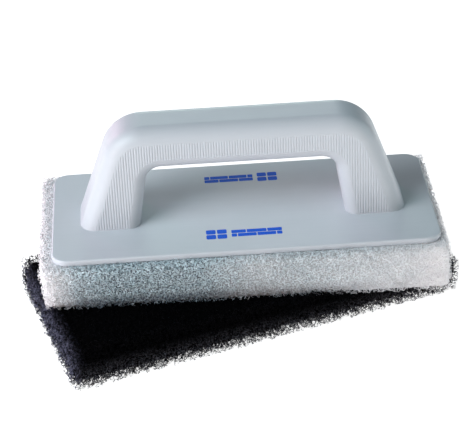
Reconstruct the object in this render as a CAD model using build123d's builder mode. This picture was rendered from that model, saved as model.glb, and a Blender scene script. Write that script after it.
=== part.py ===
"""Hand float for washing epoxy grout, with two fibre scouring pads.

A moulded plate carries a hollow bridge-shaped handle made in two halves, screwed on from below.
A hook sheet under the plate grips the white fibre pad. The tool rests on its loose black spare pad,
which lies turned under it.

Row frame: X along the plate, Y towards the back, Z up. The origin is on the surface under the spare
pad, below the middle of the plate. Units are millimetres.
"""

from build123d import *

import os
from math import cos, radians, tan

# ---- Driving dimensions ----

# Fibre pads
PAD_LENGTH = 250.0
PAD_WIDTH = 115.0
PAD_CORNER_RADIUS = 5.0
SPARE_PAD_THICKNESS = 21.0
FITTED_PAD_THICKNESS = 26.2
SPARE_PAD_CENTRE = (-4.4, -17.3)
SPARE_PAD_TURN = 16.9
FITTED_PAD_CENTRE = (-0.1, -0.8)
PAD_GAP = 0.2

# Plate
PLATE_LENGTH = 239.0
PLATE_WIDTH = 106.0
PLATE_THICKNESS = 3.8
PLATE_CORNER_RADIUS = 10.0
PLATE_TOP_EDGE_RADIUS = 1.2
PLATE_LOWER_EDGE_CHAMFER = 0.4
RIM_WIDTH = 4.0
RECESS_DEPTH = 1.5

# Hook sheet and its adhesive, in the recess
SHEET_CLEARANCE = 0.8
ADHESIVE_THICKNESS = 0.2
HOOK_SHEET_THICKNESS = 1.4

# Handle, seen from the front
HANDLE_HEIGHT = 65.6
GRIP_UNDERSIDE = 38.9
FOOT_OUTER_X = 101.8
FOOT_INNER_X = 64.0
OUTER_LEG_ANGLE = 19.8
INNER_LEG_ANGLE = 9.0
OUTER_CORNER_RADIUS = 26.5
INNER_CORNER_RADIUS = 10.0

# Handle, across
FOOT_HALF_WIDTH = 20.4
TOP_HALF_WIDTH = 17.8
CROWN_RADIUS = 10.5
UNDER_EDGE_RADIUS = 8.5
WALL = 3.0

# Fine grip flutes on both sides of the handle. The margins keep them off its rounded edges,
# and the comb that cuts them stands this far clear of the face.
FLUTE_PITCH = 1.63
FLUTE_WIDTH = 1.1
FLUTE_DEPTH = 0.3
FLUTE_OUTER_MARGIN = 8.5
FLUTE_INNER_MARGIN = 6.8
FLUTE_FOOT_MARGIN = 0.6
COMB_BACK = 1.0
COMB_CLEARANCE = 0.05

# Screws and the bosses that take them
SCREW_X = 80.0
SCREW_Y = 8.0
SCREW_LENGTH = 18.0
SCREW_THREAD_RADIUS = 2.0
SCREW_CORE_RADIUS = 1.5
SCREW_THREAD_PITCH = 1.4
SCREW_THREAD_FLANK = 0.5
SCREW_SHANK_LENGTH = 0.5
SCREW_HEAD_RADIUS = 3.9
SCREW_HEAD_HEIGHT = 2.0
SCREW_HEAD_GAP = 0.05
SCREW_POINT_LENGTH = 2.0
DRIVE_SLOT_LENGTH = 4.4
DRIVE_SLOT_WIDTH = 0.9
DRIVE_SLOT_DEPTH = 1.4
BOSS_RADIUS = 4.0
BOSS_HEIGHT = 24.0
BOSS_HOLE_CLEARANCE = 0.1
BOSS_WEB = 2.0
BOSS_WEB_GAP = 1.0

# Pegs that align the two halves, as (x, height above the plate)
PEG_PLACES = ((-34.0, 53.0), (34.0, 53.0), (-76.0, 40.0), (76.0, 40.0))
PEG_RADIUS = 2.0
PEG_LENGTH = 3.0
PEG_CLEARANCE = 0.1
POST_RADIUS = 4.0

# Locating frames on the plate, inside the hollow feet
FRAME_INSET = 1.5
FRAME_WALL = 1.8
FRAME_HEIGHT = 1.9

# ---- Worked-out sizes ----

FITTED_PAD_BASE = SPARE_PAD_THICKNESS
FITTED_PAD_TOP = FITTED_PAD_BASE + FITTED_PAD_THICKNESS
PLATE_BASE = FITTED_PAD_TOP + PAD_GAP
PLATE_TOP = PLATE_BASE + PLATE_THICKNESS
RECESS_TOP = PLATE_BASE + RECESS_DEPTH
SIDE_DRAFT = (FOOT_HALF_WIDTH - TOP_HALF_WIDTH) / HANDLE_HEIGHT

# How far a cutter runs on past the last face that it has to reach, and how near is the same place
REACH = 10.0
NEAR = 0.01


# ---- Handle ----


def handle_sketch(outer_inset, inner_inset, foot_height):
    """The bridge outline as a sketch, moved inwards from its outer and inner sides.

    Heights are above the plate. The legs are cut off level at foot_height.
    """
    outer = radians(OUTER_LEG_ANGLE)
    inner = radians(INNER_LEG_ANGLE)
    top = HANDLE_HEIGHT - outer_inset
    under = GRIP_UNDERSIDE + inner_inset

    def outer_x(height):
        return FOOT_OUTER_X - outer_inset / cos(outer) - height * tan(outer)

    def inner_x(height):
        return FOOT_INNER_X + inner_inset / cos(inner) - height * tan(inner)

    right = [
        (inner_x(under), under),
        (inner_x(foot_height), foot_height),
        (outer_x(foot_height), foot_height),
        (outer_x(top), top),
    ]
    left = [(-x, height) for x, height in reversed(right)]
    with BuildSketch(Plane.XZ) as outline:
        with BuildLine():
            Polyline(*right, *left, close=True)
        make_face()
        top_corners = vertices().filter_by(lambda v: abs(v.Y - top) < NEAR)
        fillet(top_corners, OUTER_CORNER_RADIUS - outer_inset)
        under_corners = vertices().filter_by(lambda v: abs(v.Y - under) < NEAR)
        fillet(under_corners, INNER_CORNER_RADIUS + inner_inset)
    return outline.sketch


def on_outer_side(edge, outer_inset):
    """True for an edge along the top or the outside of a leg, and False for one round the hand gap."""
    middle = edge @ 0.5
    leg_middle_x = (FOOT_OUTER_X + FOOT_INNER_X) / 2 - middle.Z * tan(radians(OUTER_LEG_ANGLE))
    grip_middle = (GRIP_UNDERSIDE + HANDLE_HEIGHT) / 2
    return middle.Z > grip_middle or abs(middle.X) > leg_middle_x + outer_inset


def bridge(inset, foot_height, crown_radius, under_edge_radius):
    """A solid bridge with drafted sides and rounded edges, moved inwards all round by the inset."""
    top = HANDLE_HEIGHT - inset
    foot_half = FOOT_HALF_WIDTH - inset - SIDE_DRAFT * foot_height
    top_half = FOOT_HALF_WIDTH - inset - SIDE_DRAFT * top
    with BuildPart() as body:
        extrude(handle_sketch(inset, inset, foot_height), amount=FOOT_HALF_WIDTH, both=True)
        with BuildSketch(Plane.YZ) as section:
            with BuildLine():
                Polyline(
                    (-foot_half, foot_height),
                    (foot_half, foot_height),
                    (top_half, top),
                    (-top_half, top),
                    close=True,
                )
            make_face()
        extrude(section.sketch, amount=FOOT_OUTER_X + REACH, both=True, mode=Mode.INTERSECT)
        side_faces = faces().filter_by(lambda f: abs(f.normal_at().Y) > 0.9)
        side_edges = side_faces.edges().filter_by(lambda e: e.center().Z > foot_height + NEAR)
        around = [e for e in side_edges if on_outer_side(e, inset)]
        within = [e for e in side_edges if not on_outer_side(e, inset)]
        fillet(around, crown_radius)
        fillet(within, under_edge_radius)
    return body.part


def flute_cutters(side):
    """Cutters for the grip flutes on one side: V grooves that run up the drafted face."""
    drafted = Plane(
        origin=(0, side * FOOT_HALF_WIDTH, 0),
        x_dir=(1, 0, 0),
        z_dir=(0, -side * SIDE_DRAFT, 1),
    )
    # A comb outline: its back stands clear of the face, and each tooth cuts one groove.
    each_way = int(FOOT_OUTER_X / FLUTE_PITCH)
    end = (each_way + 1) * FLUTE_PITCH
    comb = [(-end, side * COMB_BACK)]
    for number in range(-each_way, each_way + 1):
        x = number * FLUTE_PITCH
        comb.append((x - FLUTE_WIDTH / 2, side * COMB_CLEARANCE))
        comb.append((x, -side * FLUTE_DEPTH))
        comb.append((x + FLUTE_WIDTH / 2, side * COMB_CLEARANCE))
    comb.append((end, side * COMB_BACK))
    panel = handle_sketch(FLUTE_OUTER_MARGIN, FLUTE_INNER_MARGIN, FLUTE_FOOT_MARGIN)
    with BuildPart() as cutters:
        with BuildSketch(drafted):
            with BuildLine():
                Polyline(*comb, close=True)
            make_face()
        extrude(amount=HANDLE_HEIGHT)
        extrude(panel, amount=FOOT_HALF_WIDTH + REACH, both=True, mode=Mode.INTERSECT)
    return cutters.part


def handle_half(side, solid, void):
    """One half of the handle, standing at height zero. The side is -1 for the front and 1 for the back."""
    screw_places = ((-SCREW_X, side * SCREW_Y), (SCREW_X, side * SCREW_Y))
    web_length = FOOT_HALF_WIDTH - WALL / 2 - SCREW_Y
    web_y = side * (SCREW_Y + web_length / 2)
    web_base = FRAME_HEIGHT + BOSS_WEB_GAP
    with BuildPart() as half:
        add(solid)
        add(void, mode=Mode.SUBTRACT)
        # Screw bosses stand on the plate, each joined to the side wall by a web.
        with BuildSketch(Plane.XY):
            with Locations(*screw_places):
                Circle(BOSS_RADIUS)
        extrude(amount=BOSS_HEIGHT)
        with BuildSketch(Plane.XY.offset(web_base)):
            with Locations((-SCREW_X, web_y), (SCREW_X, web_y)):
                Rectangle(BOSS_WEB, web_length)
        extrude(amount=BOSS_HEIGHT - web_base)
        # Posts reach from the side wall to the joint plane.
        with BuildSketch(Plane.XZ):
            with Locations(*PEG_PLACES):
                Circle(POST_RADIUS)
        extrude(amount=-side * (TOP_HALF_WIDTH - WALL / 2))
        add(solid, mode=Mode.INTERSECT)
        with BuildSketch(Plane.XY):
            with Locations(*screw_places):
                Circle(SCREW_THREAD_RADIUS + BOSS_HOLE_CLEARANCE)
        extrude(amount=SCREW_LENGTH, mode=Mode.SUBTRACT)
        split(bisect_by=Plane.XZ, keep=Keep.TOP if side < 0 else Keep.BOTTOM)
        # The front half has the pegs, and the back half has the holes for them.
        with BuildSketch(Plane.XZ):
            with Locations(*PEG_PLACES):
                Circle(PEG_RADIUS if side < 0 else PEG_RADIUS + PEG_CLEARANCE)
        if side < 0:
            extrude(amount=-PEG_LENGTH)
        else:
            extrude(amount=-PEG_LENGTH - PEG_CLEARANCE, mode=Mode.SUBTRACT)
        add(flute_cutters(side), mode=Mode.SUBTRACT)
    return half.part


handle_solid = bridge(0, 0, CROWN_RADIUS, UNDER_EDGE_RADIUS)
handle_void = bridge(WALL, -REACH, CROWN_RADIUS - WALL, UNDER_EDGE_RADIUS - WALL)
ON_PLATE = Location((0, 0, PLATE_TOP))

with BuildPart() as handle_front_half:
    add(handle_half(-1, handle_solid, handle_void).moved(ON_PLATE))

with BuildPart() as handle_back_half:
    add(handle_half(1, handle_solid, handle_void).moved(ON_PLATE))

# ---- Fibre pads ----

with BuildPart() as black_pad:
    turned = Plane(Location((*SPARE_PAD_CENTRE, 0), (0, 0, SPARE_PAD_TURN)))
    with BuildSketch(turned):
        RectangleRounded(PAD_LENGTH, PAD_WIDTH, PAD_CORNER_RADIUS)
    extrude(amount=SPARE_PAD_THICKNESS)

with BuildPart() as white_pad:
    straight = Plane(Location((*FITTED_PAD_CENTRE, FITTED_PAD_BASE)))
    with BuildSketch(straight):
        RectangleRounded(PAD_LENGTH, PAD_WIDTH, PAD_CORNER_RADIUS)
    extrude(amount=FITTED_PAD_THICKNESS)

# ---- Plate ----

RECESS_LENGTH = PLATE_LENGTH - 2 * RIM_WIDTH
RECESS_WIDTH = PLATE_WIDTH - 2 * RIM_WIDTH
RECESS_CORNER_RADIUS = PLATE_CORNER_RADIUS - RIM_WIDTH

# The locating frames stand just inside the inner faces of the feet.
FRAME_INNER_X = FOOT_INNER_X + WALL / cos(radians(INNER_LEG_ANGLE)) + FRAME_INSET / 2
FRAME_OUTER_X = FOOT_OUTER_X - WALL / cos(radians(OUTER_LEG_ANGLE)) - FRAME_INSET
FRAME_LENGTH = FRAME_OUTER_X - FRAME_INNER_X
FRAME_WIDTH = 2 * (FOOT_HALF_WIDTH - WALL - FRAME_INSET)
FRAME_X = (FRAME_INNER_X + FRAME_OUTER_X) / 2
FRAME_CORNER_RADIUS = CROWN_RADIUS - WALL

with BuildPart() as base_plate:
    with BuildSketch(Plane.XY.offset(PLATE_BASE)):
        RectangleRounded(PLATE_LENGTH, PLATE_WIDTH, PLATE_CORNER_RADIUS)
    extrude(amount=PLATE_THICKNESS)
    fillet(faces().sort_by(Axis.Z)[-1].edges(), PLATE_TOP_EDGE_RADIUS)
    chamfer(faces().sort_by(Axis.Z)[0].edges(), PLATE_LOWER_EDGE_CHAMFER)
    # Recess for the hook sheet
    with BuildSketch(Plane.XY.offset(PLATE_BASE)):
        RectangleRounded(RECESS_LENGTH, RECESS_WIDTH, RECESS_CORNER_RADIUS)
    extrude(amount=RECESS_DEPTH, mode=Mode.SUBTRACT)
    # Raised frames that centre the hollow feet
    with BuildSketch(Plane.XY.offset(PLATE_TOP)):
        with Locations((-FRAME_X, 0), (FRAME_X, 0)):
            RectangleRounded(FRAME_LENGTH, FRAME_WIDTH, FRAME_CORNER_RADIUS)
            RectangleRounded(
                FRAME_LENGTH - 2 * FRAME_WALL,
                FRAME_WIDTH - 2 * FRAME_WALL,
                FRAME_CORNER_RADIUS - FRAME_WALL,
                mode=Mode.SUBTRACT,
            )
    extrude(amount=FRAME_HEIGHT)
    # Screw holes, countersunk from below
    with Locations(Plane(origin=(0, 0, RECESS_TOP), x_dir=(1, 0, 0), z_dir=(0, 0, -1))):
        with GridLocations(2 * SCREW_X, 2 * SCREW_Y, 2, 2):
            CounterSinkHole(
                radius=SCREW_THREAD_RADIUS + BOSS_HOLE_CLEARANCE,
                counter_sink_radius=SCREW_HEAD_RADIUS + BOSS_HOLE_CLEARANCE,
                depth=PLATE_THICKNESS,
            )

# ---- Hook sheet and adhesive ----

SHEET_LENGTH = RECESS_LENGTH - 2 * SHEET_CLEARANCE
SHEET_WIDTH = RECESS_WIDTH - 2 * SHEET_CLEARANCE
SHEET_CORNER_RADIUS = RECESS_CORNER_RADIUS - SHEET_CLEARANCE
ADHESIVE_BASE = RECESS_TOP - ADHESIVE_THICKNESS
HOOK_SHEET_BASE = ADHESIVE_BASE - HOOK_SHEET_THICKNESS

with BuildPart() as adhesive_sheet:
    with BuildSketch(Plane.XY.offset(ADHESIVE_BASE)):
        RectangleRounded(SHEET_LENGTH, SHEET_WIDTH, SHEET_CORNER_RADIUS)
    extrude(amount=ADHESIVE_THICKNESS)

with BuildPart() as hook_sheet:
    with BuildSketch(Plane.XY.offset(HOOK_SHEET_BASE)):
        RectangleRounded(SHEET_LENGTH, SHEET_WIDTH, SHEET_CORNER_RADIUS)
    extrude(amount=HOOK_SHEET_THICKNESS)

# ---- Screws ----


def screw_profile():
    """Half section of a countersunk screw, point up, as (radius, height) from the face of its head."""
    thread_start = SCREW_HEAD_HEIGHT + SCREW_SHANK_LENGTH
    thread_end = SCREW_LENGTH - SCREW_POINT_LENGTH
    turns = int((thread_end - thread_start) / SCREW_THREAD_PITCH)
    points = [(0, 0), (SCREW_HEAD_RADIUS, 0), (SCREW_CORE_RADIUS, SCREW_HEAD_HEIGHT)]
    for turn in range(turns):
        base = thread_start + turn * SCREW_THREAD_PITCH
        points.append((SCREW_CORE_RADIUS, base))
        points.append((SCREW_THREAD_RADIUS, base + SCREW_THREAD_FLANK))
        points.append((SCREW_CORE_RADIUS, base + 2 * SCREW_THREAD_FLANK))
    points.append((SCREW_CORE_RADIUS, thread_end))
    points.append((0, SCREW_LENGTH))
    return points


with BuildPart() as one_screw:
    with BuildSketch(Plane.XZ):
        with BuildLine():
            Polyline(*screw_profile(), close=True)
        make_face()
    revolve(axis=Axis.Z)
    # Cross drive slots in the head
    with BuildSketch(Plane.XY):
        Rectangle(DRIVE_SLOT_LENGTH, DRIVE_SLOT_WIDTH)
        Rectangle(DRIVE_SLOT_WIDTH, DRIVE_SLOT_LENGTH)
    extrude(amount=DRIVE_SLOT_DEPTH, mode=Mode.SUBTRACT)

with BuildPart() as handle_screws:
    with Locations((0, 0, RECESS_TOP + SCREW_HEAD_GAP)):
        with GridLocations(2 * SCREW_X, 2 * SCREW_Y, 2, 2):
            add(one_screw.part)

# ---- Export ----

os.makedirs("parts", exist_ok=True)
PIECES = {
    "black_pad": black_pad,
    "white_pad": white_pad,
    "base_plate": base_plate,
    "adhesive_sheet": adhesive_sheet,
    "hook_sheet": hook_sheet,
    "handle_front_half": handle_front_half,
    "handle_back_half": handle_back_half,
    "handle_screws": handle_screws,
}
for name, piece in PIECES.items():
    piece.part.label = name
    export_step(piece.part, f"parts/{name}.step")
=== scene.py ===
"""Looks for the grout float: moulded plastic holder, printed marks, hook field and two fibre pads.

Lengths are in metres, in the same frame as the CAD model. Places come from the CAD nodes' boxes.
"""

from math import atan2, cos, pi, radians, sin

import bmesh
import bpy
import numpy as np
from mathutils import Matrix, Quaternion, Vector


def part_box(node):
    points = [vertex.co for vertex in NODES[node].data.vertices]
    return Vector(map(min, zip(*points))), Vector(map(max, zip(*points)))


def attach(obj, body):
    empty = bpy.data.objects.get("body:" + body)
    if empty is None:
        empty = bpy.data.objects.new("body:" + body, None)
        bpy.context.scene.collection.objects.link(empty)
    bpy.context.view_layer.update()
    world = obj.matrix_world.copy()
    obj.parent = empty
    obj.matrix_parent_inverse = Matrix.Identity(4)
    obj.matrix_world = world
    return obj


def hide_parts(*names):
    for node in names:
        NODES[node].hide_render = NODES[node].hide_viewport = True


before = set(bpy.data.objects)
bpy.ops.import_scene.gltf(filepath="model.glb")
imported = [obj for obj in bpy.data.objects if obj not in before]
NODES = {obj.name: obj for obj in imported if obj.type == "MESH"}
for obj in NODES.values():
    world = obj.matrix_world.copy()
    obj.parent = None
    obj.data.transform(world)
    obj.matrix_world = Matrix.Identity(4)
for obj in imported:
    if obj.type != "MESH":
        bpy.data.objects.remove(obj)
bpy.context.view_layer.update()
MM = 0.001

# ---- Shader helpers ----


class Shader:
    """A material's node tree, built up by short calls. Its coordinates are metres in the CAD frame."""

    def __init__(self, name):
        self.material = bpy.data.materials.new(name)
        self.material.use_nodes = True
        self.tree = self.material.node_tree
        self.tree.nodes.clear()
        self.surface = self.node("ShaderNodeBsdfPrincipled")
        output = self.node("ShaderNodeOutputMaterial")
        self.link(self.surface.outputs["BSDF"], output.inputs["Surface"])
        self.place = self.node("ShaderNodeTexCoord").outputs["Object"]

    def node(self, kind, **settings):
        """A new node of a kind, with its settings."""
        made = self.tree.nodes.new(kind)
        for key, value in settings.items():
            setattr(made, key, value)
        return made

    def link(self, output, socket):
        self.tree.links.new(output, socket)

    def set(self, **values):
        """Fixed values on the main shader, with underscores for the spaces in a socket's name."""
        for key, value in values.items():
            self.surface.inputs[key.replace("_", " ")].default_value = value

    def stretched(self, factors):
        """The object coordinates with each axis multiplied by its factor."""
        scale = self.node("ShaderNodeVectorMath", operation="MULTIPLY")
        self.link(self.place, scale.inputs[0])
        scale.inputs[1].default_value = factors
        return scale.outputs["Vector"]

    def noise(self, size, detail=2.0, rough=0.5, place=None):
        """Noise whose features are about this size across, in metres."""
        made = self.node("ShaderNodeTexNoise")
        self.link(place or self.place, made.inputs["Vector"])
        made.inputs["Scale"].default_value = 1 / size
        made.inputs["Detail"].default_value = detail
        made.inputs["Roughness"].default_value = rough
        return made.outputs["Fac"]

    def cells(self, size):
        """Distance to the nearest cell centre, in cells of about this size."""
        made = self.node("ShaderNodeTexVoronoi", feature="F1")
        self.link(self.place, made.inputs["Vector"])
        made.inputs["Scale"].default_value = 1 / size
        return made.outputs["Distance"]

    def ramp(self, value, stops):
        """Maps a value through (position, colour) stops."""
        made = self.node("ShaderNodeValToRGB")
        self.link(value, made.inputs["Fac"])
        elements = made.color_ramp.elements
        while len(elements) < len(stops):
            elements.new(0.5)
        for element, (position, colour) in zip(elements, stops):
            element.position = position
            element.color = (*colour, 1.0)
        return made.outputs["Color"]

    def spread(self, value, low, high, out_low, out_high):
        """Maps a value from one range to another and clamps it."""
        made = self.node("ShaderNodeMapRange")
        self.link(value, made.inputs["Value"])
        sockets = ("From Min", "From Max", "To Min", "To Max")
        for socket, number in zip(sockets, (low, high, out_low, out_high)):
            made.inputs[socket].default_value = number
        return made.outputs["Result"]

    def times(self, first, second):
        """Two values multiplied."""
        made = self.node("ShaderNodeMath", operation="MULTIPLY")
        self.link(first, made.inputs[0])
        self.link(second, made.inputs[1])
        return made.outputs["Value"]

    def tint(self, colour, factor, other):
        """Mixes from one colour to another by a factor between 0 and 1."""
        made = self.node("ShaderNodeMix", data_type="RGBA")
        self.link(factor, made.inputs["Factor"])
        for socket, value in ((made.inputs[6], colour), (made.inputs[7], other)):
            if isinstance(value, tuple):
                socket.default_value = (*value, 1.0)
            else:
                self.link(value, socket)
        return made.outputs[2]

    def along(self, shape, axis, stops):
        """A grey that follows (share of the way, value) stops along one of a pad's own axes."""
        own = self.node("ShaderNodeMapping", vector_type="TEXTURE")
        self.link(self.place, own.inputs["Vector"])
        own.inputs["Location"].default_value = tuple(shape.middle)
        own.inputs["Rotation"].default_value = (0, 0, shape.turn)
        split = self.node("ShaderNodeSeparateXYZ")
        self.link(own.outputs["Vector"], split.inputs[0])
        half = shape.half["XYZ".index(axis)]
        share = self.spread(split.outputs[axis], -half, half, 0.0, 1.0)
        return self.ramp(share, [(at, (value, value, value)) for at, value in stops])

    def bump(self, height, depth, strength=1.0, under=None):
        """A bump from a height between 0 and 1, over another bump if one is given."""
        made = self.node("ShaderNodeBump")
        made.inputs["Strength"].default_value = strength
        made.inputs["Distance"].default_value = depth
        self.link(height, made.inputs["Height"])
        if under:
            self.link(under, made.inputs["Normal"])
        return made.outputs["Normal"]

    def finish(self, colour=None, roughness=None, normal=None):
        """The material, once its colour, roughness and normal are linked to the main shader."""
        for socket, value in (("Base Color", colour), ("Roughness", roughness), ("Normal", normal)):
            if value:
                self.link(value, self.surface.inputs[socket])
        return self.material


# ---- Materials ----


def moulded_plastic():
    """Light bluish-grey plastic from a finely grained mould, satin, with faint flow streaks along X."""
    shader = Shader("moulded_plastic")
    streaks = shader.noise(3 * MM, 3.0, place=shader.stretched((0.08, 1.0, 1.0)))
    clouds = shader.noise(45 * MM, 3.0)
    grain = shader.noise(0.35 * MM, 1.0)
    wander = shader.noise(9 * MM, 2.0)
    base = shader.ramp(clouds, [(0.3, (0.555, 0.588, 0.635)), (0.7, (0.58, 0.612, 0.66))])
    colour = shader.tint(base, shader.spread(streaks, 0.45, 0.75, 0.0, 0.25), (0.535, 0.57, 0.62))
    roughness = shader.spread(shader.times(wander, streaks), 0.1, 0.4, 0.34, 0.46)
    normal = shader.bump(grain, 0.03 * MM, 0.35, shader.bump(wander, 0.06 * MM, 0.25))
    shader.set(Specular_IOR_Level=0.42)
    return shader.finish(colour, roughness, normal)


def printed_ink():
    """Flat blue ink with a slightly uneven lay-down."""
    shader = Shader("printed_ink")
    mottle = shader.noise(0.5 * MM, 2.0)
    colour = shader.ramp(mottle, [(0.3, (0.004, 0.085, 0.60)), (0.7, (0.008, 0.11, 0.72))])
    roughness = shader.spread(mottle, 0.3, 0.7, 0.38, 0.55)
    shader.set(Specular_IOR_Level=0.08)
    return shader.finish(colour, roughness, shader.bump(mottle, 0.01 * MM, 0.4))


def zinc_plate():
    """Bright zinc on the screws, turned along their axes."""
    shader = Shader("zinc_plate")
    turning = shader.noise(0.2 * MM, 2.0, place=shader.stretched((0.1, 0.1, 1.0)))
    colour = shader.ramp(turning, [(0.35, (0.46, 0.47, 0.48)), (0.65, (0.62, 0.63, 0.65))])
    shader.set(Metallic=1.0)
    return shader.finish(colour, shader.spread(turning, 0.3, 0.7, 0.24, 0.42))


def adhesive_film():
    """Dull amber pressure-sensitive film with tiny bubbles."""
    shader = Shader("adhesive_film")
    bubbles = shader.cells(1.6 * MM)
    colour = shader.ramp(bubbles, [(0.05, (0.60, 0.54, 0.38)), (0.3, (0.50, 0.44, 0.29))])
    normal = shader.bump(bubbles, 0.03 * MM, 0.5)
    return shader.finish(colour, shader.spread(bubbles, 0.0, 0.5, 0.25, 0.55), normal)


def hook_nylon():
    """Off-white nylon of the hooks and their backing sheet, woven in fine ribs."""
    shader = Shader("hook_nylon")
    ribs = shader.noise(0.7 * MM, 1.0, place=shader.stretched((0.25, 1.0, 1.0)))
    colour = shader.ramp(ribs, [(0.35, (0.50, 0.50, 0.47)), (0.65, (0.68, 0.68, 0.65))])
    normal = shader.bump(ribs, 0.08 * MM, 0.6)
    return shader.finish(colour, shader.spread(ribs, 0.3, 0.7, 0.35, 0.5), normal)


def web_core(name, look, shape):
    """The dense inside of a fibre pad: strands in the solid colour round pores in a dark colour of painted
    shade.
    """
    shader = Shader(name)
    tangle = shader.noise(look["pore"], 2.0, 0.6)
    patches = shader.noise(9 * look["pore"], 2.0)
    strand = shader.spread(tangle, *look["pore_range"], 0.0, 1.0)
    depth = shader.times(strand, shader.spread(patches, 0.3, 0.7, 0.8, 1.0))
    # Painted shade: the pores between the strands are coloured dark.
    dense = shader.tint(look["pore_shade"], depth, look["solid"])
    # Painted light: a paler colour where the pad catches more light, at its ends and, on the fitted pad,
    # towards its right, laid on along X.
    loose = shader.tint(look["loose_open"], depth, look["loose"])
    # Painted shade near the fitted pad's bottom, where it rests on the spare pad, and painted light in pale
    # specks near the spare pad's bottom, where the floor shows through.
    with_bottom_light_shade = shader.tint(dense, bottom_light_shade(shader, look, shape), look["bottom_light_shade"])
    colour = shader.tint(with_bottom_light_shade, shader.along(shape, "X", look["loose_along"]), loose)
    shader.set(Specular_IOR_Level=look["gloss"] / 2)
    return shader.finish(colour, shader.spread(tangle, 0.3, 0.7, 0.65, 0.9), shader.bump(strand, 0.5 * MM))


def nylon_fibre(name, look, shape):
    """One fibre's nylon: colour drifts from strand to strand, with a soft gloss and a fine scaly bump."""
    shader = Shader(name)
    drift = shader.noise(look["drift"], 2.0)
    scale = shader.noise(0.15 * MM, 1.0)
    light = shader.spread(drift, 0.46, 0.58, 0.0, 1.0)
    dense = shader.tint(look["dark"], light, look["light"])
    # Painted light: paler strands where the pad catches more light, at its ends and, on the fitted pad,
    # towards its right.
    loose = shader.tint(look["loose_open"], light, look["loose"])
    # Painted shade near the fitted pad's bottom and painted light in pale specks near the spare pad's
    # bottom.
    with_bottom_light_shade = shader.tint(dense, bottom_light_shade(shader, look, shape), look["bottom_light_shade"])
    colour = shader.tint(with_bottom_light_shade, shader.along(shape, "X", look["loose_along"]), loose)
    shader.set(Specular_IOR_Level=look["gloss"])
    roughness = shader.spread(scale, 0.3, 0.7, 0.4, 0.65)
    return shader.finish(colour, roughness, shader.bump(scale, 0.02 * MM, 0.5))


def bottom_light_shade(shader, look, shape):
    """How much painted light and shade a place gets near a pad's bottom: speckled, and strongest at the
    underside.
    """
    speckle = shader.spread(shader.noise(look["speck"], 1.0), 0.5, 0.58, look["bottom_light_shade_even"], 1.0)
    return shader.times(shader.along(shape, "Z", look["bottom_light_shade_up"]), speckle)


def studio_white():
    """A white sweep that glows faintly, so that it stays white round the tool."""
    shader = Shader("studio_white")
    mottle = shader.noise(0.4, 1.0)
    colour = shader.ramp(mottle, [(0.3, (0.44, 0.44, 0.44)), (0.7, (0.46, 0.46, 0.46))])
    shader.set(Roughness=0.9, Specular_IOR_Level=0.0)
    shader.set(Emission_Color=(1.0, 1.0, 1.0, 1.0), Emission_Strength=0.92)
    return shader.finish(colour)


# ---- Mesh helpers ----


def add_object(name, mesh, material, smooth=True):
    """A new object in the scene from a mesh, in one material."""
    made = bpy.data.objects.new(name, mesh)
    bpy.context.scene.collection.objects.link(made)
    mesh.materials.append(material)
    mesh.polygons.foreach_set("use_smooth", [smooth] * len(mesh.polygons))
    return made


def mesh_from(name, points, faces):
    """A mesh from its points and the faces that join them."""
    mesh = bpy.data.meshes.new(name)
    mesh.from_pydata(points, [], faces)
    mesh.update()
    return mesh


# ---- Fibre pads ----

WHITE_LOW, WHITE_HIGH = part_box("white_pad")
PAD_LENGTH = WHITE_HIGH.x - WHITE_LOW.x
PAD_WIDTH = WHITE_HIGH.y - WHITE_LOW.y

# Keeps a division safe where a length is nothing
TINY = 1e-9


class PadShape:
    """A pad's block: its middle, half size, turn about Z and the radius of its worn edges.

    The slump is how far its lower corners have moved out of square: (front, back) at each end.
    """

    def __init__(self, middle, half, turn, radius, slump):
        self.middle = np.array(middle)
        self.half = np.array(half)
        self.turn = turn
        self.radius = radius
        self.slump = np.array(slump)

    def to_frame(self, points):
        """Points from the pad's own square axes to the CAD frame."""
        share = np.clip((points / self.half + 1) / 2, 0, 1)
        x, y, z = np.split(share, 3, axis=1)
        left, right = ((1 - y) * front + y * back for front, back in self.slump)
        slumped = points + (1 - z) * ((1 - x) * left + x * right)
        c, s = cos(self.turn), sin(self.turn)
        return slumped @ np.array([[c, s, 0], [-s, c, 0], [0, 0, 1]]) + self.middle

    def depth_and_normal(self, points):
        """How far each point stands out of the rounded block, and the way out of it."""
        beyond = np.abs(points) - (self.half - self.radius)
        outside = np.maximum(beyond, 0)
        length = np.linalg.norm(outside, axis=1)
        deepest = np.eye(3)[np.argmax(beyond, axis=1)]
        away = np.where(length[:, None] > 0, outside / np.maximum(length, TINY)[:, None], deepest)
        distance = length + np.minimum(beyond.max(axis=1), 0) - self.radius
        return distance, away * np.sign(points)


# How far strands reach into the core, and how fast they thin out outside it
CORE_BITE = 0.8 * MM
THINNING = 3.5 * MM

# They lie dense in a band by the pad's sides, and only this share of them on the flats beside it
EDGE_BAND = 7.0 * MM
FLAT_SHARE = 0.08

# Random places tried at a time for each strand that has to start
TRIES_PER_STRAND = 8

# How far a tame strand may stand out of the block, how unevenly strands curl, how much their heading and
# the axis they curl about wander at each step, and how hard they turn back from a surface
TAME_LIMIT = 0.3 * MM
CURL_SPREAD = (0.6, 1.8)
HEADING_WANDER = 0.12
AXIS_WANDER = 0.25
TURN_BACK = 1.6

# How unevenly thick strands are, how thin their ends are, and how far they stay above the floor
THICKNESS_SPREAD = (0.75, 1.25)
END_TAPER = 0.55
FLOOR_CLEARANCE = 0.1 * MM


def unit(vectors):
    """The vectors scaled to length one."""
    return vectors / np.maximum(np.linalg.norm(vectors, axis=1), TINY)[:, None]


def turned_about(vectors, axes, angles):
    """Each vector turned about its unit axis by its angle."""
    c, s = np.cos(angles)[:, None], np.sin(angles)[:, None]
    along = (vectors * axes).sum(axis=1)[:, None]
    return vectors * c + np.cross(axes, vectors) * s + axes * along * (1 - c)


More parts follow.
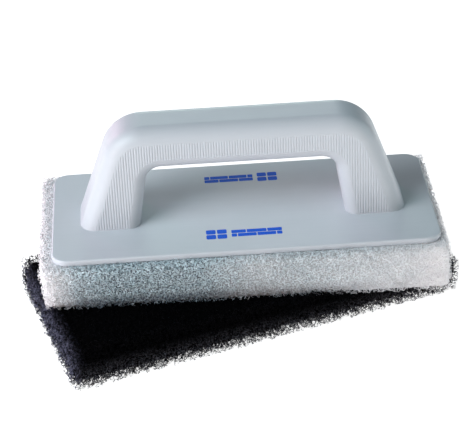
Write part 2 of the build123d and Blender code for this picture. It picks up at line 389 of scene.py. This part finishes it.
def strand_starts(rng, shape, core, count):
    """Random places outside the core, thinning outwards, and few of them on the block's flats."""
    places = np.empty((0, 3))
    while len(places) < count:
        tries = (rng.random((TRIES_PER_STRAND * count, 3)) * 2 - 1) * shape.half
        in_block = shape.depth_and_normal(tries)[0] < 0
        off_core = core.depth_and_normal(tries)[0] + CORE_BITE
        dense = (off_core > 0) & (rng.random(len(tries)) < np.exp(-off_core / THINNING))
        by_sides = (np.abs(tries) > shape.half - EDGE_BAND)[:, :2].any(axis=1)
        spread = by_sides | (rng.random(len(tries)) < FLAT_SHARE)
        places = np.vstack([places, tries[in_block & dense & spread]])
    return places[:count]


def strand_lines(rng, shape, core, strand):
    """Centrelines of curly strands that wander between the core and the outside, and side vectors."""
    count = strand["count"]
    limit = np.where(rng.random(count) < strand["proud_share"], strand["proud"], TAME_LIMIT)
    points = strand_starts(rng, shape, core, count)
    heading = unit(rng.normal(size=(count, 3)))
    axis = unit(np.cross(heading, rng.normal(size=(count, 3))))
    bend = strand["step"] / (strand["curl"] * rng.uniform(*CURL_SPREAD, count))
    line, side = [], []
    for _ in range(strand["steps"]):
        line.append(points)
        side.append(axis)
        heading = unit(turned_about(heading, axis, bend) + rng.normal(size=(count, 3)) * HEADING_WANDER)
        axis = unit(axis + rng.normal(size=(count, 3)) * AXIS_WANDER)
        axis = unit(axis - heading * (axis * heading).sum(axis=1)[:, None])
        points = points + heading * strand["step"]
        distance, out = shape.depth_and_normal(points)
        core_distance, core_out = core.depth_and_normal(points)
        climb = (heading * out).sum(axis=1)
        sink = (heading * core_out).sum(axis=1)
        leaving = (distance > limit) & (climb > 0)
        entering = (core_distance < -CORE_BITE) & (sink < 0)
        inwards = unit(heading - TURN_BACK * climb[:, None] * out)
        heading = np.where(leaving[:, None], inwards, heading)
        outwards = unit(heading - TURN_BACK * sink[:, None] * core_out)
        heading = np.where(entering[:, None], outwards, heading)
        points = points - out * np.maximum(distance - limit, 0)[:, None]
    return np.array(line), np.array(side)


def between_core_and_block(shape, core, points):
    """Points from the pad's square axes to the CAD frame, slumped like the core where they lie near it."""
    off_core = np.maximum(core.depth_and_normal(points)[0], 0)
    off_block = np.maximum(-shape.depth_and_normal(points)[0], 0)
    share = (off_core / np.maximum(off_core + off_block, TINY))[:, None]
    return (1 - share) * core.to_frame(points) + share * shape.to_frame(points)


def strand_mesh(name, shape, core, line, side, radius):
    """Three-sided tubes along the centrelines, closed at both ends."""
    steps, count, _ = line.shape
    along = np.gradient(line, axis=0)
    along /= np.linalg.norm(along, axis=2, keepdims=True)
    first = side - along * (side * along).sum(axis=2, keepdims=True)
    first /= np.linalg.norm(first, axis=2, keepdims=True)
    second = np.cross(along, first)
    taper = np.ones(steps)
    taper[[0, -1]] = END_TAPER
    width = radius[None, :, None] * taper[:, None, None]
    corners = [line + width * (cos(a) * first + sin(a) * second) for a in (0, 2 * pi / 3, 4 * pi / 3)]
    points = np.stack(corners, axis=2).transpose(1, 0, 2, 3).reshape(-1, 3)
    points = between_core_and_block(shape, core, points)
    points[:, 2] = np.maximum(points[:, 2], FLOOR_CLEARANCE)
    ring = np.array([[k * 3 + j, k * 3 + (j + 1) % 3, (k + 1) * 3 + (j + 1) % 3, (k + 1) * 3 + j]
                     for k in range(steps - 1) for j in range(3)])
    last = (steps - 1) * 3
    caps = np.array([[2, 1, 0], [last, last + 1, last + 2]])
    offsets = np.arange(count)[:, None, None] * steps * 3
    quads = (ring[None] + offsets).reshape(-1, 4).tolist()
    ends = (caps[None] + offsets).reshape(-1, 3).tolist()
    return mesh_from(name, points.tolist(), quads + ends)


def web_block(name, shape, look, material):
    """The dense core: a rounded block with a fine pitted skin."""
    work = bmesh.new()
    bmesh.ops.create_cube(work, size=1.0)
    bmesh.ops.scale(work, vec=2 * shape.half, verts=work.verts)
    bmesh.ops.bevel(work, geom=work.edges, offset=shape.radius, segments=6, profile=0.5, affect="EDGES")
    places = shape.to_frame(np.array([vert.co for vert in work.verts]))
    for vert, place in zip(work.verts, places):
        vert.co = place
    mesh = bpy.data.meshes.new(name)
    work.to_mesh(mesh)
    work.free()
    made = add_object(name, mesh, material)
    remesh = made.modifiers.new("even_skin", "REMESH")
    remesh.mode = "VOXEL"
    remesh.voxel_size = look["skin"]
    remesh.use_smooth_shade = True
    texture = bpy.data.textures.new(f"{name}_pits", "CLOUDS")
    texture.noise_scale, depth = look["pits"]
    texture.noise_depth = 1
    pitted = made.modifiers.new("pits", "DISPLACE")
    pitted.texture = texture
    pitted.texture_coords = "LOCAL"
    pitted.strength = depth
    pitted.mid_level = 0.6
    return made


# What a pad's look holds. Sizes: pore and drift say how far apart the pores and the strands' shades are,
# pits is the size and depth of the skin's pits, skin is its mesh size, and speck is the size of a speck of
# the painted light and shade near the bottom. The pore_range is where the noise turns from pore to strand,
# and gloss is how much strands shine. Colours: pore_shade, which is painted shade in the pores, and solid in
# the core, dark and light on the strands, and loose_open and loose, which are painted light
# where the pad catches more light, as loose_along says along X. bottom_light_shade is painted near the
# bottom as bottom_light_shade_up says from the bottom up: painted shade on the fitted pad where it rests on
# the spare pad, and painted light in specks on the spare pad where the floor shows through. The share
# bottom_light_shade_even is how much of it lies between the specks.


def fibre_pad(name, body, shape, core_shape, look, strand, seeds):
    """A whole pad in place of its CAD block: the core, and layers of strands that ride on it."""
    core = web_block(f"{name}_core", core_shape, look, web_core(f"{name}_web", look, core_shape))
    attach(core, body)
    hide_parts(name)
    nylon = nylon_fibre(f"{name}_nylon", look, shape)
    for seed in seeds:
        rng = np.random.default_rng(seed)
        line, side = strand_lines(rng, shape, core_shape, strand)
        radius = strand["radius"] * rng.uniform(*THICKNESS_SPREAD, strand["count"])
        mesh = strand_mesh(f"{name}_fibres_{seed}", shape, core_shape, line, side, radius)
        fibres = add_object(f"{name}_fibres_{seed}", mesh, nylon)
        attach(fibres, body)


def pad_turn(node):
    """The pad's turn about Z, from the way its largest upright face looks."""
    nearly_level = 0.1
    upright = [face for face in NODES[node].data.polygons if abs(face.normal.z) < nearly_level]
    normal = max(upright, key=lambda face: face.area).normal
    out = normal if normal.y > 0 else -normal
    return atan2(-out.x, out.y)


def pad_shape(node, turn, inset, radius, slump, shift=0.0):
    """A shape whose faces lie this far inside a CAD pad block that is shifted along X, before it slumps."""
    low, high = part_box(node)
    half = (PAD_LENGTH / 2 - inset, PAD_WIDTH / 2 - inset, (high.z - low.z) / 2 - inset)
    return PadShape((low + high) / 2 + Vector((shift, 0, 0)), half, turn, radius, slump)


def make_white_pad():
    """The fitted pad: fine pale fibre, painted shade in its pores and low down, painted light at its left
    end and to the right.
    """
    left = (3.0 * MM, 0, -0.7 * MM)
    right = (1.0 * MM, 0, -3.5 * MM)
    slump = ((left, left), (right, right))
    shift = -2.0 * MM
    shape = pad_shape("white_pad", 0.0, -0.9 * MM, 3.0 * MM, slump, shift)
    core = pad_shape("white_pad", 0.0, -0.1 * MM, 4.0 * MM, slump, shift)
    # Its look paints shade in the pores and near the bottom, where it rests on the spare pad, and paints
    # light that makes it paler at its left end and towards its right.
    look = {
        "pore": 1.1 * MM, "pore_range": (0.38, 0.54), "pits": (2.2 * MM, 1.1 * MM), "skin": 1.2 * MM,
        "pore_shade": (0.035, 0.052, 0.075), "solid": (0.62, 0.77, 0.84),
        "dark": (0.27, 0.37, 0.43), "light": (0.80, 0.93, 0.98), "drift": 1.8 * MM, "gloss": 0.3,
        "loose_open": (0.90, 0.88, 0.90), "loose": (0.93, 0.91, 0.93),
        "loose_along": [(0.0, 1.0), (0.03, 0.9), (0.09, 0.2), (0.16, 0.05), (0.4, 0.1), (0.52, 0.52),
                        (0.64, 0.45), (0.9, 0.75), (0.97, 0.95)],
        "bottom_light_shade": (0.022, 0.045, 0.085), "speck": 0.9 * MM, "bottom_light_shade_even": 0.5,
        "bottom_light_shade_up": [(0.0, 1.0), (0.14, 0.85), (0.3, 0.0)],
    }
    strand = {"count": 5200, "steps": 7, "step": 1.0 * MM, "curl": 1.4 * MM, "radius": 0.14 * MM,
              "proud": 0.8 * MM, "proud_share": 0.25}
    fibre_pad("white_pad", "fitted_pad", shape, core, look, strand, (11, 12))


def make_black_pad():
    """The spare pad: coarse black fibre, see-through at its lower edges, with painted light in specks low
    down and on its paler ends.
    """
    turn = pad_turn("black_pad")
    left = ((-2.2 * MM, -6.0 * MM, 0), (-1.0 * MM, 0, 0))
    right = ((-1.0 * MM, 2.5 * MM, 0), (-1.0 * MM, 0, 0))
    shape = pad_shape("black_pad", turn, -1.8 * MM, 3.0 * MM, (left, right))
    core_left = ((0, -4.5 * MM, 0), (0, 0, 0))
    core_right = ((-1.0 * MM, 6.0 * MM, 0), (-1.0 * MM, 0, 0))
    core = pad_shape("black_pad", turn, 1.2 * MM, 5.5 * MM, (core_left, core_right))
    # Its look paints shade in the pores, light in pale specks near the bottom where the floor shows through,
    # and light that makes its ends a little paler.
    look = {
        "pore": 1.2 * MM, "pore_range": (0.46, 0.58), "pits": (1.7 * MM, 3.4 * MM), "skin": 0.95 * MM,
        "pore_shade": (0.0002, 0.0002, 0.0003), "solid": (0.0010, 0.0009, 0.0016),
        "dark": (0.0004, 0.0004, 0.0006), "light": (0.0022, 0.0021, 0.0036),
        "drift": 1.6 * MM, "gloss": 0.05,
        "loose_open": (0.0005, 0.0005, 0.001), "loose": (0.16, 0.162, 0.24),
        "loose_along": [(0.0, 1.0), (0.01, 0.4), (0.022, 0.0), (0.978, 0.0), (0.99, 0.4), (1.0, 1.0)],
        "bottom_light_shade": (0.28, 0.28, 0.33), "speck": 1.3 * MM, "bottom_light_shade_even": 0.0,
        "bottom_light_shade_up": [(0.0, 0.9), (0.3, 0.5), (0.7, 0.0)],
    }
    strand = {"count": 5200, "steps": 7, "step": 0.6 * MM, "curl": 0.7 * MM, "radius": 0.17 * MM,
              "proud": 1.0 * MM, "proud_share": 0.4}
    fibre_pad("black_pad", "spare_pad", shape, core, look, strand, range(21, 28))


# ---- Holder ----


def dress_holder():
    """Materials for the CAD nodes that stay as they are."""
    plastic = moulded_plastic()
    for node in ("base_plate", "handle_front_half", "handle_back_half"):
        assign(node, plastic)
    assign("handle_screws", zinc_plate())
    assign("adhesive_sheet", adhesive_film())


def assign(node, material):
    """Gives a CAD node its material."""
    mesh = NODES[node].data
    mesh.materials.clear()
    mesh.materials.append(material)


# ---- Printed marks ----

PLATE_LOW, PLATE_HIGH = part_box("base_plate")
PLATE_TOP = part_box("handle_front_half")[0].z
FRONT_MARK_MIDDLE = (-0.7 * MM, PLATE_LOW.y + 20.0 * MM)
BACK_MARK_MIDDLE = (1.4 * MM, PLATE_HIGH.y - 19.0 * MM)
INK_THICKNESS = 0.05 * MM
INK_BITE = 0.01 * MM


def rounded_rectangle(middle, size, radius, corner_steps=5):
    """Outline points of a rounded rectangle, anticlockwise."""
    points = []
    for quarter, (sx, sy) in enumerate(((1, 1), (-1, 1), (-1, -1), (1, -1))):
        centre = (middle[0] + sx * (size[0] / 2 - radius), middle[1] + sy * (size[1] / 2 - radius))
        for k in range(corner_steps):
            angle = (quarter + k / (corner_steps - 1)) * pi / 2
            points.append((centre[0] + radius * cos(angle), centre[1] + radius * sin(angle)))
    return points


def mark_outlines():
    """A generic tiling sign, about its own middle: four tiles, then two courses of bricks."""
    outlines = []
    tile, tile_radius = (6.0 * MM, 4.9 * MM), 1.0 * MM
    grout, icon_x = 0.8 * MM, -17.2 * MM
    for sx in (-1, 1):
        for sy in (-1, 1):
            middle = (icon_x + sx * (tile[0] + grout) / 2, sy * (tile[1] + grout) / 2)
            outlines.append(rounded_rectangle(middle, tile, tile_radius))
    course, joint, brick_radius = 3.6 * MM, 0.5 * MM, 0.6 * MM
    left, right = -8.2 * MM, 23.6 * MM
    for row, splits in enumerate(((0.3, 0.7), (0.12, 0.5, 0.88))):
        y = (0.5 - row) * (course + joint)
        ends = [left, *(left + (right - left) * s for s in splits), right]
        for start, stop in zip(ends, ends[1:]):
            middle = ((start + stop) / 2, y)
            outlines.append(rounded_rectangle(middle, (stop - start - joint, course), brick_radius))
    return outlines


def make_mark(name, middle, turn, material):
    """One printed mark: each shape is a thin closed slab of ink on the plate."""
    base = PLATE_TOP - INK_BITE
    work = bmesh.new()
    for outline in mark_outlines():
        turned = [Vector((x, y, 0)) for x, y in outline]
        for point in turned:
            point.rotate(Quaternion((0, 0, 1), turn))
        low = [work.verts.new((p.x + middle[0], p.y + middle[1], base)) for p in turned]
        face = work.faces.new(low)
        raised = bmesh.ops.extrude_face_region(work, geom=[face])
        tops = [v for v in raised["geom"] if isinstance(v, bmesh.types.BMVert)]
        bmesh.ops.translate(work, verts=tops, vec=(0, 0, INK_THICKNESS))
    bmesh.ops.recalc_face_normals(work, faces=work.faces)
    mesh = bpy.data.meshes.new(name)
    work.to_mesh(mesh)
    work.free()
    made = add_object(name, mesh, material, smooth=False)
    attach(made, "holder")


def make_marks():
    """A mark in front of the handle, and one behind it that reads from the back."""
    ink = printed_ink()
    make_mark("front_mark", FRONT_MARK_MIDDLE, 0.0, ink)
    make_mark("back_mark", BACK_MARK_MIDDLE, pi, ink)


# ---- Hook field ----

BACKING_HEIGHT = 0.5 * MM
BACKING_CORNER = 5.2 * MM
HOOK_PITCH = 2.4 * MM
HOOK_MARGIN = 3.0 * MM


def hook_mesh():
    """One moulded hook, standing on its base at height zero and pointing down: a stem that bends over."""
    height, reach = 0.85 * MM, 0.45 * MM
    base_radius, tip_radius = 0.175 * MM, 0.091 * MM
    ring, rows = 5, 7
    stem_share = 0.45
    work = bmesh.new()
    rings = []
    for row in range(rows):
        share = row / (rows - 1)
        bend = max(0.0, share - stem_share) / (1 - stem_share) * pi
        stem = min(share, stem_share) / stem_share * (height - reach / 2)
        centre = Vector((reach / 2 * (1 - cos(bend)), 0, -stem - reach / 2 * sin(bend)))
        across = Vector((cos(bend), 0, sin(bend)))
        width = base_radius + (tip_radius - base_radius) * share
        points = [centre + width * (cos(a) * across + Vector((0, sin(a), 0)))
                  for a in (2 * pi * k / ring for k in range(ring))]
        rings.append([work.verts.new(p) for p in points])
    for low, high in zip(rings, rings[1:]):
        for k in range(ring):
            work.faces.new((low[k], low[(k + 1) % ring], high[(k + 1) % ring], high[k]))
    work.faces.new(reversed(rings[0]))
    work.faces.new(rings[-1])
    bmesh.ops.recalc_face_normals(work, faces=work.faces)
    mesh = bpy.data.meshes.new("hooks")
    work.to_mesh(mesh)
    work.free()
    return mesh


def make_hook_backing(low, high, nylon):
    """The sheet that the hooks stand on, in place of the plain CAD slab."""
    work = bmesh.new()
    bmesh.ops.create_cube(work, size=1.0)
    bmesh.ops.scale(work, vec=(high.x - low.x, high.y - low.y, BACKING_HEIGHT), verts=work.verts)
    upright = [e for e in work.edges if abs(e.verts[0].co.z - e.verts[1].co.z) > BACKING_HEIGHT / 2]
    bmesh.ops.bevel(work, geom=upright, offset=BACKING_CORNER, segments=6, profile=0.5, affect="EDGES")
    bmesh.ops.translate(work, verts=work.verts, vec=(0, 0, high.z - BACKING_HEIGHT / 2))
    mesh = bpy.data.meshes.new("hook_backing")
    work.to_mesh(mesh)
    work.free()
    backing = add_object("hook_backing", mesh, nylon, smooth=False)
    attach(backing, "holder")
    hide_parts("hook_sheet")


def make_hooks(low, high, nylon):
    """Rows of hooks all over the backing."""
    hooks = add_object("hooks", hook_mesh(), nylon)
    hooks.location = (low.x + HOOK_MARGIN, low.y + HOOK_MARGIN, high.z - BACKING_HEIGHT)
    for axis, span in ((0, high.x - low.x), (1, high.y - low.y)):
        array = hooks.modifiers.new(f"along_{axis}", "ARRAY")
        array.use_relative_offset = False
        array.use_constant_offset = True
        array.constant_offset_displace = [HOOK_PITCH if k == axis else 0 for k in range(3)]
        array.count = int((span - 2 * HOOK_MARGIN) / HOOK_PITCH) + 1
    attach(hooks, "holder")


def make_hook_field():
    """The backing sheet and its hooks, in one nylon."""
    low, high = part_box("hook_sheet")
    nylon = hook_nylon()
    make_hook_backing(low, high, nylon)
    make_hooks(low, high, nylon)


# ---- Studio ----

# How far the main lights are from the tool, and how far below the middle of the fitted pad the end
# panels point
LIGHT_DISTANCE = 1.6
PANEL_DROP = 8 * MM


def make_floor():
    """A wide level floor that the part stands on."""
    half = 4.0
    corners = [(-half, -half, 0), (half, -half, 0), (half, half, 0), (-half, half, 0)]
    floor = add_object("floor", mesh_from("floor", corners, [(0, 1, 2, 3)]), studio_white())


def make_softbox(name, azimuth, elevation, distance, size, power, colour, aim=Vector((0, 0, 0.06))):
    """An area light that looks at the aim. Azimuth 0 is in front of it, and 90 degrees is on its right."""
    light = bpy.data.lights.new(name, "AREA")
    light.shape = "RECTANGLE"
    light.size, light.size_y = size
    light.energy = power
    light.color = colour
    lamp = bpy.data.objects.new(name, light)
    bpy.context.scene.collection.objects.link(lamp)
    level = cos(radians(elevation))
    out = Vector((sin(radians(azimuth)) * level, -cos(radians(azimuth)) * level, sin(radians(elevation))))
    lamp.location = aim + out * distance
    lamp.rotation_mode = "QUATERNION"
    lamp.rotation_quaternion = (-out).to_track_quat("-Z", "Y")
    lamp.visible_camera = False


def make_lights():
    """A wide key light on the left, weak low lights all round, and a panel by each end of the pads."""
    world = bpy.data.worlds.new("studio")
    bpy.context.scene.world = world
    world.use_nodes = True
    background = world.node_tree.nodes["Background"]
    background.inputs["Color"].default_value = (0.6, 0.7, 1.0, 1.0)
    background.inputs["Strength"].default_value = 0.03
    make_softbox("left_key", -60, 40, LIGHT_DISTANCE, (1.2, 0.6), 21.0, (0.80, 0.96, 1.0))
    make_softbox("left_low", -60, 15, LIGHT_DISTANCE, (0.6, 0.6), 9.3, (1.0, 0.71, 0.70))
    make_softbox("front_low", 30, 15, LIGHT_DISTANCE, (0.6, 0.6), 1.5, (1.0, 0.7, 0.3))
    make_softbox("right_low", 90, 20, LIGHT_DISTANCE, (2.0, 0.6), 7.3, (0.72, 0.93, 1.0))
    make_softbox("back_low", 180, 15, LIGHT_DISTANCE, (0.6, 0.6), 4.2, (0.8, 1.0, 0.93))
    make_softbox("left_back_low", -140, 15, LIGHT_DISTANCE, (0.6, 0.6), 4.8, (1.0, 0.58, 0.78))
    height = (WHITE_LOW.z + WHITE_HIGH.z) / 2 - PANEL_DROP
    left_end = Vector((WHITE_LOW.x, WHITE_LOW.y, height))
    right_end = Vector((WHITE_HIGH.x, WHITE_LOW.y, height))
    make_softbox("left_end_panel", -70, 30, 0.06, (0.08, 0.02), 0.021, (0.98, 0.95, 1.0), left_end)
    make_softbox("right_end_panel", 65, 0, 0.08, (0.06, 0.03), 0.02, (1.0, 0.97, 0.97), right_end)


# The camera looks down at the tool from a little left of straight in front. Its lens is in millimetres,
# for a sensor of the width given.
CAMERA_AZIMUTH = radians(-2.62)
CAMERA_ELEVATION = radians(31.23)
CAMERA_ROLL = radians(-2.32)
CAMERA_DISTANCE = 1.1544
CAMERA_AIM = Vector((-0.0035, 0.0001, 0.0474))
CAMERA_LENS = 138.8
CAMERA_SENSOR = 36


def make_camera():
    """The camera, turned about the way it looks by its roll."""
    data = bpy.data.cameras.new("camera")
    data.sensor_width = CAMERA_SENSOR
    data.lens = CAMERA_LENS
    data.clip_start, data.clip_end = 0.01, 20
    camera = bpy.data.objects.new("camera", data)
    bpy.context.scene.collection.objects.link(camera)
    level = cos(CAMERA_ELEVATION)
    back = Vector((sin(CAMERA_AZIMUTH) * level, -cos(CAMERA_AZIMUTH) * level, sin(CAMERA_ELEVATION)))
    camera.location = CAMERA_AIM + back * CAMERA_DISTANCE
    camera.rotation_mode = "QUATERNION"
    facing = (-back).to_track_quat("-Z", "Y")
    camera.rotation_quaternion = facing @ Quaternion((0, 0, 1), CAMERA_ROLL)
    bpy.context.scene.camera = camera


# ---- Making ----

bpy.context.scene.view_settings.view_transform = "Standard"
make_camera()
make_lights()
make_floor()
dress_holder()
make_marks()
make_hook_field()
make_white_pad()
make_black_pad()
